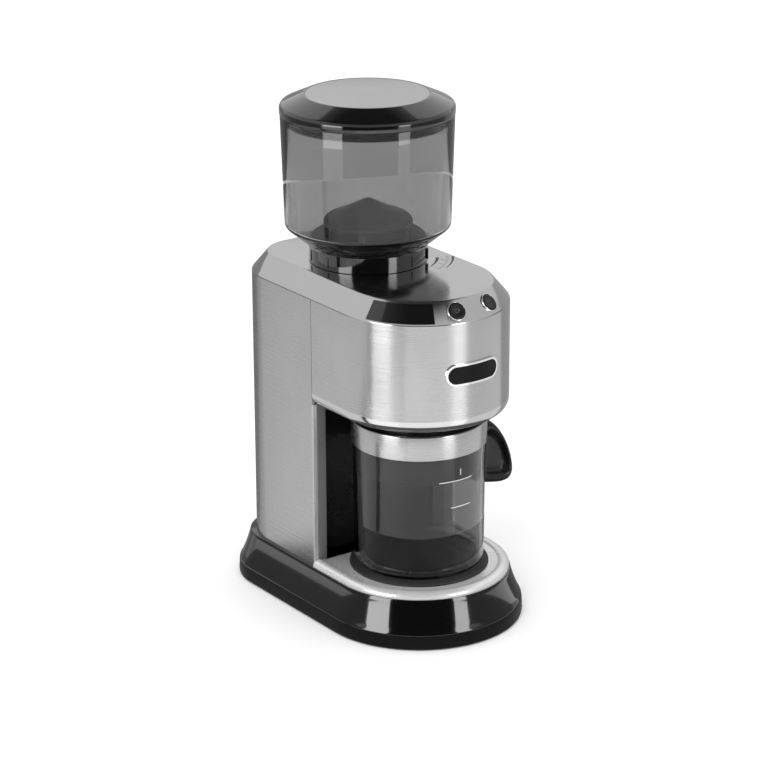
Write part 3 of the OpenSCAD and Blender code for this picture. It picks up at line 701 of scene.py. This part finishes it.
def bean_guard():
    """Roof-shaped guard over the throat: base ring, four posts and a cone with a thick rolled rim."""
    box_lo, box_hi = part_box("bean_guard")
    floor, top = box_lo.z, box_hi.z
    outer = box_hi.x
    lathe("guard_ring", rounded([(30.5 * MM, floor), (outer, floor), (outer, floor + 2.2 * MM),
                                 (30.5 * MM, floor + 2.2 * MM)], [0.3 * MM, 0.3 * MM, 0.9 * MM, 0.6 * MM], 3),
          HOP_Y, SATIN_BLACK, "bean_hopper", "bean_guard")
    roof = [(0.01 * MM, floor + 10.6 * MM), (29.5 * MM, floor + 9.2 * MM)]
    for k in range(11):
        a = math.radians(-100 + 200 * k / 10)
        roof.append((30.2 * MM + 2.9 * MM * math.cos(a), floor + 12.2 * MM + 2.9 * MM * math.sin(a)))
    for k in range(1, 11):
        t = k / 10
        roof.append(((1 - t) * 28.5 * MM + t * 2.2 * MM,
                     floor + 15.1 * MM + (top - floor - 13.4 * MM) * t))
    roof.append((0.01 * MM, top + 2 * MM))
    lathe("guard_roof", roof, HOP_Y, SATIN_BLACK, "bean_hopper", "bean_guard", crease=50)
    for k in range(4):
        a = math.radians(45 + 90 * k)
        post = prism(f"guard_post_{k}", rounded(in_mm([(28.8, -2), (32.4, -2), (32.4, 2), (28.8, 2)]),
                                                [0.6 * MM] * 4, 3), floor + 0.4 * MM, floor + 11 * MM)
        post.data.transform(Matrix.Translation((0, HOP_Y, 0)) @ Matrix.Rotation(a, 4, "Z"))
        post.data.materials.append(SATIN_BLACK)
        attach(post, "bean_hopper")


def hopper_lid():
    """Glossy dome with a flat centre for the metal disc, and a skirt that drops into the hopper."""
    top, low = lid_hi.z, lid_lo.z
    edge = lid_hi.x
    rim = low + 7 * MM
    disc = LID_DISC_R
    sunk = 1.3 * MM
    points = [(0.01 * MM, top - sunk), (disc, top - sunk), (disc, top), (disc + 1.3 * MM, top),
              (edge - 1.2 * MM, top - 7.2 * MM), (edge, top - 9.4 * MM), (edge, rim), (60.6 * MM, rim),
              (60.6 * MM, low), (58.4 * MM, low), (58.4 * MM, rim + 1.6 * MM), (44 * MM, top - 5 * MM),
              (0.01 * MM, top - 5 * MM)]
    radii = [0, 0, 0.2 * MM, 1.6 * MM, 2.2 * MM, 1.2 * MM, 0.8 * MM, 0.2 * MM, 0.6 * MM, 0.6 * MM, 0.5 * MM,
             1 * MM, 0]
    lathe("lid_dome", rounded(points, radii, 6), HOP_Y, GLOSS_BLACK, "lid", "hopper_lid",
          crease=40)
    lathe("lid_metal", rounded([(0.01 * MM, top - sunk), (disc - 0.15 * MM, top - sunk),
                                (disc - 0.15 * MM, top - 0.05 * MM), (0.01 * MM, top - 0.05 * MM)],
                               [0, 0, 0.35 * MM, 0], 4), HOP_Y, DISC_STEEL, "lid", "lid_disc")


# ---------------------------------------------------------------- jar
def jar():
    """Smoked jar with rounded foot, a stepped neck under the ring and a moulding mark in the floor."""
    foot, rim = jar_lo.z, jar_hi.z
    shoulder = ring_lo.z - 0.4 * MM
    wall = 2.4 * MM
    low_r = JAR_R - 1.2 * MM
    points = [(0.01 * MM, foot + 0.7 * MM), (38 * MM, foot + 0.7 * MM), (39 * MM, foot), (low_r, foot),
              (JAR_R, shoulder), (JAR_R - 0.9 * MM, shoulder + 0.4 * MM), (JAR_R - 0.9 * MM, rim),
              (JAR_R - 2.5 * MM, rim), (JAR_R - wall, shoulder - 6 * MM), (low_r - wall, foot + 3.2 * MM),
              (0.01 * MM, foot + 3.2 * MM)]
    radii = [0, 0.4 * MM, 0.4 * MM, 6 * MM, 0.4 * MM, 0, 0.5 * MM, 0.5 * MM, 1 * MM, 4.2 * MM, 0]
    body = lathe("jar_body", rounded(points, radii, 8), JAR_Y, JAR_CLEAR, "grounds_jar", "jar")
    body.visible_shadow = False


def jar_ring():
    """Brushed band round the jar's neck."""
    low, high = ring_lo.z, ring_hi.z
    outer, inner = ring_hi.x, JAR_R - 0.85 * MM
    lathe("ring_band", rounded([(outer, low), (outer, high), (inner, high), (inner, low)],
                               [0.4 * MM, 0.8 * MM, 0.5 * MM, 0], 4), JAR_Y, RING_STEEL, "grounds_jar",
          "jar_ring")


def jar_lid():
    """Flat cover with a hole for the chute and a skirt that hangs inside the jar."""
    low, high = jar_lid_lo.z, jar_lid_hi.z
    underside, lip = high - 2.8 * MM, high - 2.58 * MM
    outline = [(20.5 * MM, underside), (20.5 * MM, high), (48.1 * MM, high), (48.1 * MM, lip),
               (46.1 * MM, lip), (45.9 * MM, low), (44.1 * MM, low), (44.3 * MM, underside)]
    radii = [r * MM for r in (0.5, 0.9, 0.9, 0.3, 0, 0.5, 0.5, 0.3)]
    lathe("jar_cover", rounded(outline, radii, 4), JAR_Y, LID_GREY, "grounds_jar", "jar_lid")


def handle_outline():
    """Side view of the handle in (x, z): a smooth leaf that hangs out and down from the ring."""
    lo, hi = handle_lo, handle_hi
    root = JAR_R + 0.2 * MM
    width, height = (hi.x + 2.5 * MM - JAR_R) * 0.99, hi.z - lo.z + 3 * MM
    shares = [(0, 0.985), (0.14, 1.0), (0.31, 0.955), (0.54, 0.83), (0.76, 0.64), (0.91, 0.43), (0.99, 0.23),
              (0.985, 0.10), (0.88, 0.02), (0.66, 0.0), (0.4, 0.02), (0.16, 0.05), (0, 0.075)]
    knots = [Vector((root + width * a, lo.z + height * b)) for a, b in shares]
    outline = []
    for i in range(len(knots) - 1):
        p0, p1, p2, p3 = (knots[max(0, min(len(knots) - 1, i + k))] for k in (-1, 0, 1, 2))
        for k in range(4):
            t = k / 4
            outline.append(tuple(0.5 * (2 * p1 + (p2 - p0) * t + (2 * p0 - 5 * p1 + 4 * p2 - p3) * t * t
                                        + (3 * p1 - p0 - 3 * p2 + p3) * t ** 3)))
    return outline + [tuple(knots[-1])]


def jar_handle():
    """Leaf-shaped grip with a thick rolled rim and a hollow pressed into each face."""
    lo, hi = handle_lo, handle_hi
    outline = handle_outline()
    centre = Vector((sum(p[0] for p in outline), sum(p[1] for p in outline))) / len(outline)
    half = (hi.y - lo.y) / 2
    count = len(outline)

    def row(share, y):
        """The outline drawn in towards its middle by a share, at a distance across the handle."""
        points = []
        for x, z in outline:
            px, pz = x + (centre.x - x) * share, z + (centre.y - z) * share
            points.append((px, JAR_Y + y, pz))
        return points

    steps = [(0.52, 5.6 * MM), (0.44, 5.0 * MM), (0.36, 3.4 * MM), (0.30, 1.2 * MM), (0.25, 0.3 * MM)]
    for k in range(8):
        a = math.pi / 2 * k / 7
        steps.append((0.20 * (1 - math.sin(a)), 4.5 * MM * (1 - math.cos(a))))
    rows = [row(share, depth - half) for share, depth in steps]
    rows += [row(share, half - depth) for share, depth in reversed(steps)]
    verts = [v for one in rows for v in one]
    faces = capped_faces(len(rows), count)
    grip = mesh_piece("handle_grip", verts, faces, HANDLE_BLACK, "grounds_jar", "jar_handle",
                      crease=60)
    below, above = lo.z - 20 * MM, hi.z + 20 * MM
    jar_plan, ring_plan = circle(JAR_R + 0.15 * MM, (0, JAR_Y)), circle(ring_hi.x + 0.1 * MM, (0, JAR_Y))
    cut(grip, [prism("jar_space", jar_plan, below, ring_lo.z - 0.5 * MM),
               prism("ring_space", ring_plan, ring_lo.z - 1 * MM, above)])


def jar_mark(name, low, high, first, last):
    """A printed stroke on the jar's outside, between two angles from the front centre."""
    taper, proud, steps = 1.2 * MM, 0.08 * MM, 12
    verts, faces = [], []
    for k in range(steps + 1):
        a = math.radians(first + (last - first) * k / steps)
        for z in (low, high):
            r = JAR_R - taper * (ring_lo.z - z) / (ring_lo.z - jar_lo.z) + proud
            verts.append((r * math.sin(a), JAR_Y - r * math.cos(a), z))
        if k:
            faces.append((2 * k - 2, 2 * k, 2 * k + 1, 2 * k - 1))
    mesh_piece(name, verts, faces, PRINT_WHITE, "grounds_jar", None)


def jar_marks():
    """Fill line, its short upright, and the limit line below them."""
    fill, limit = ring_lo.z - 18.4 * MM, ring_lo.z - 39 * MM
    jar_mark("fill_line", fill, fill + 0.6 * MM, -19, 15)
    jar_mark("fill_tick", fill + 4.2 * MM, fill + 9 * MM, 1.2, 2.0)
    jar_mark("limit_line", limit, limit + 0.6 * MM, -8, 13)


# ---------------------------------------------------------------- studio
CAMERA_SIDE = math.radians(-126.3)
# flat sectors of floor that only reflections see: degrees from the camera's side, radii, glow
FLOOR_CARDS = {
    "ring_left": (-61, -24, 0.20, 0.50, 1.45), "ring_right": (40, 60, 0.20, 0.50, 1.50),
    "ring_slot": (-74, -67, 0.20, 0.50, 0.02), "left_near": (-112, -74, 0.20, 0.50, 0.84),
    "left_strip": (-47, -17, 0.50, 1.18, 1.02), "right_strip": (39, 59, 0.50, 1.18, 1.18),
    "slot": (-65, -58, 0.50, 1.18, 0.02), "left_gap": (-58, -47, 0.50, 1.18, 0.84),
    "left_floor": (-112, -65, 0.50, 1.18, 0.84), "left_fade": (-125, -112, 0.20, 1.18, 0.50),
    "rear_left_floor": (-184, -125, 0.20, 1.18, 0.22), "right_floor": (60, 122, 0.20, 1.18, 0.86),
    "rear_right_floor": (122, 176, 0.20, 1.18, 0.42), "foot_shade": (-184, 176, 0.07, 0.20, 0.12),
}
# upright curved cards that only reflections see: degrees from the camera's side, lowest, highest, glow
WALL_CARDS = {
    "left_box": (-60, -34, 0.10, 0.70, 5.6), "right_box": (41, 57, 0.10, 0.70, 5.0),
    "front_dark": (-34, 41, 0.0, 0.80, 0.02),
    "left_middle": (-122, -62, 0.0, 0.45, 0.20), "left_high": (-122, -62, 0.45, 1.80, 0.72),
    "right_middle": (58, 122, 0.0, 0.45, 0.20), "right_high": (58, 122, 0.45, 1.80, 0.62),
    "rear_left": (-184, -122, 0.0, 0.50, 0.28), "rear_left_high": (-184, -122, 0.50, 1.80, 0.72),
    "rear_right": (122, 176, 0.0, 0.50, 0.40), "rear_right_high": (122, 176, 0.50, 1.80, 0.72),
}
WALL_DISTANCE = 1.2
FLOOR_HALF = 40
CARD_LIFT = MM / 2


def studio():
    """White floor, a wide overhead sun for soft light, and cards for the metal and gloss to mirror."""
    scene = bpy.context.scene
    scene.view_settings.view_transform = "Standard"
    floor_material, tree, bsdf = shader("studio_floor", (0.9, 0.9, 0.9), 0.0, 0.8)
    tint(tree, bsdf, noise(tree, place(tree), 3.0), (0.895, 0.895, 0.895), (0.905, 0.905, 0.905))
    bsdf.inputs["Specular IOR Level"].default_value = 0.1
    mesh = bpy.data.meshes.new("floor")
    corners = [(x * FLOOR_HALF, y * FLOOR_HALF, 0) for x, y in ((-1, -1), (1, -1), (1, 1), (-1, 1))]
    mesh.from_pydata(corners, [], [(0, 1, 2, 3)])
    mesh.materials.append(floor_material)
    floor = link(bpy.data.objects.new("floor", mesh))
    scene.world = sky()
    overhead = lamp("overhead", "SUN", (0, 0, 3), (0, 0, 0), 2.9)
    overhead.data.angle = math.radians(100)
    key = lamp("key", "AREA", (-1.5, -1.2, 1.6), (0, 0, 0.2), 12)
    key.data.size = 0.8
    for name, (start, stop, near, far, glow) in FLOOR_CARDS.items():
        card(name, start, stop, (near, CARD_LIFT), (far, CARD_LIFT), glow)
    for name, (start, stop, low, high, glow) in WALL_CARDS.items():
        card(name, start, stop, (WALL_DISTANCE, low), (WALL_DISTANCE, high), glow)


def sky():
    """A surround that is bright near the horizon and dark overhead."""
    world = bpy.data.worlds.new("studio")
    world.use_nodes = True
    tree = world.node_tree
    coordinates = tree.nodes.new("ShaderNodeTexCoord")
    split = tree.nodes.new("ShaderNodeSeparateXYZ")
    tree.links.new(coordinates.outputs["Generated"], split.inputs[0])
    level = node(tree, "ShaderNodeMapRange", From_Min=0.62, From_Max=0.85, To_Min=0.62, To_Max=0.04)
    tree.links.new(split.outputs["Z"], level.inputs["Value"])
    tree.nodes["Background"].inputs["Color"].default_value = (1, 1, 1, 1)
    tree.links.new(level.outputs["Result"], tree.nodes["Background"].inputs["Strength"])
    return world


def lamp(name, kind, spot, aim, power):
    """A soft light that glossy surfaces don't mirror."""
    data = bpy.data.lights.new(name, kind)
    data.energy = power
    made = link(bpy.data.objects.new(name, data))
    made.location = spot
    made.rotation_euler = (Vector(aim) - Vector(spot)).to_track_quat("-Z", "Y").to_euler()
    made.visible_glossy = False
    return made


def card(name, start, stop, first, last, glow):
    """A glowing card, unseen but for reflections, swept round between two (radius, height) edges."""
    material = bpy.data.materials.new(name)
    material.use_nodes = True
    bsdf = material.node_tree.nodes["Principled BSDF"]
    bsdf.inputs["Base Color"].default_value = (0, 0, 0, 1)
    bsdf.inputs["Specular IOR Level"].default_value = 0
    bsdf.inputs["Emission Color"].default_value = (1, 1, 1, 1)
    bsdf.inputs["Emission Strength"].default_value = glow
    verts, faces = [], []
    steps = 24
    for k in range(steps + 1):
        a = CAMERA_SIDE + math.radians(start + (stop - start) * k / steps)
        verts += [(r * math.cos(a), JAR_Y + r * math.sin(a), z) for r, z in (first, last)]
        if k:
            faces.append((2 * k - 2, 2 * k, 2 * k + 1, 2 * k - 1))
    mesh = bpy.data.meshes.new(name)
    mesh.from_pydata(verts, [], faces)
    mesh.materials.append(material)
    obj = link(bpy.data.objects.new(name, mesh))
    obj.visible_camera = False
    obj.visible_diffuse = False
    obj.visible_shadow = False
    obj.visible_transmission = False


def camera():
    data = bpy.data.cameras.new("camera")
    data.sensor_width = 36
    data.lens = 134.3
    data.shift_x = -0.043
    data.shift_y = -0.0056
    made = link(bpy.data.objects.new("camera", data))
    made.location = (-1.170, -1.635, 0.8836)
    # turned right of straight ahead, and tilted down, to match the photograph
    yaw, pitch = math.radians(36.26), math.radians(19.54)
    look = Vector((math.sin(yaw) * math.cos(pitch), math.cos(yaw) * math.cos(pitch), -math.sin(pitch)))
    made.rotation_euler = look.to_track_quat("-Z", "Y").to_euler()
    bpy.context.scene.camera = made


base_skirt()
base_tray()
jar_mat()
head_bezel()
chute_ring()
top_deck()
buttons()
grind_scale()
hopper()
bean_guard()
hopper_lid()
jar()
jar_ring()
jar_lid()
jar_handle()
jar_marks()
studio()
camera()
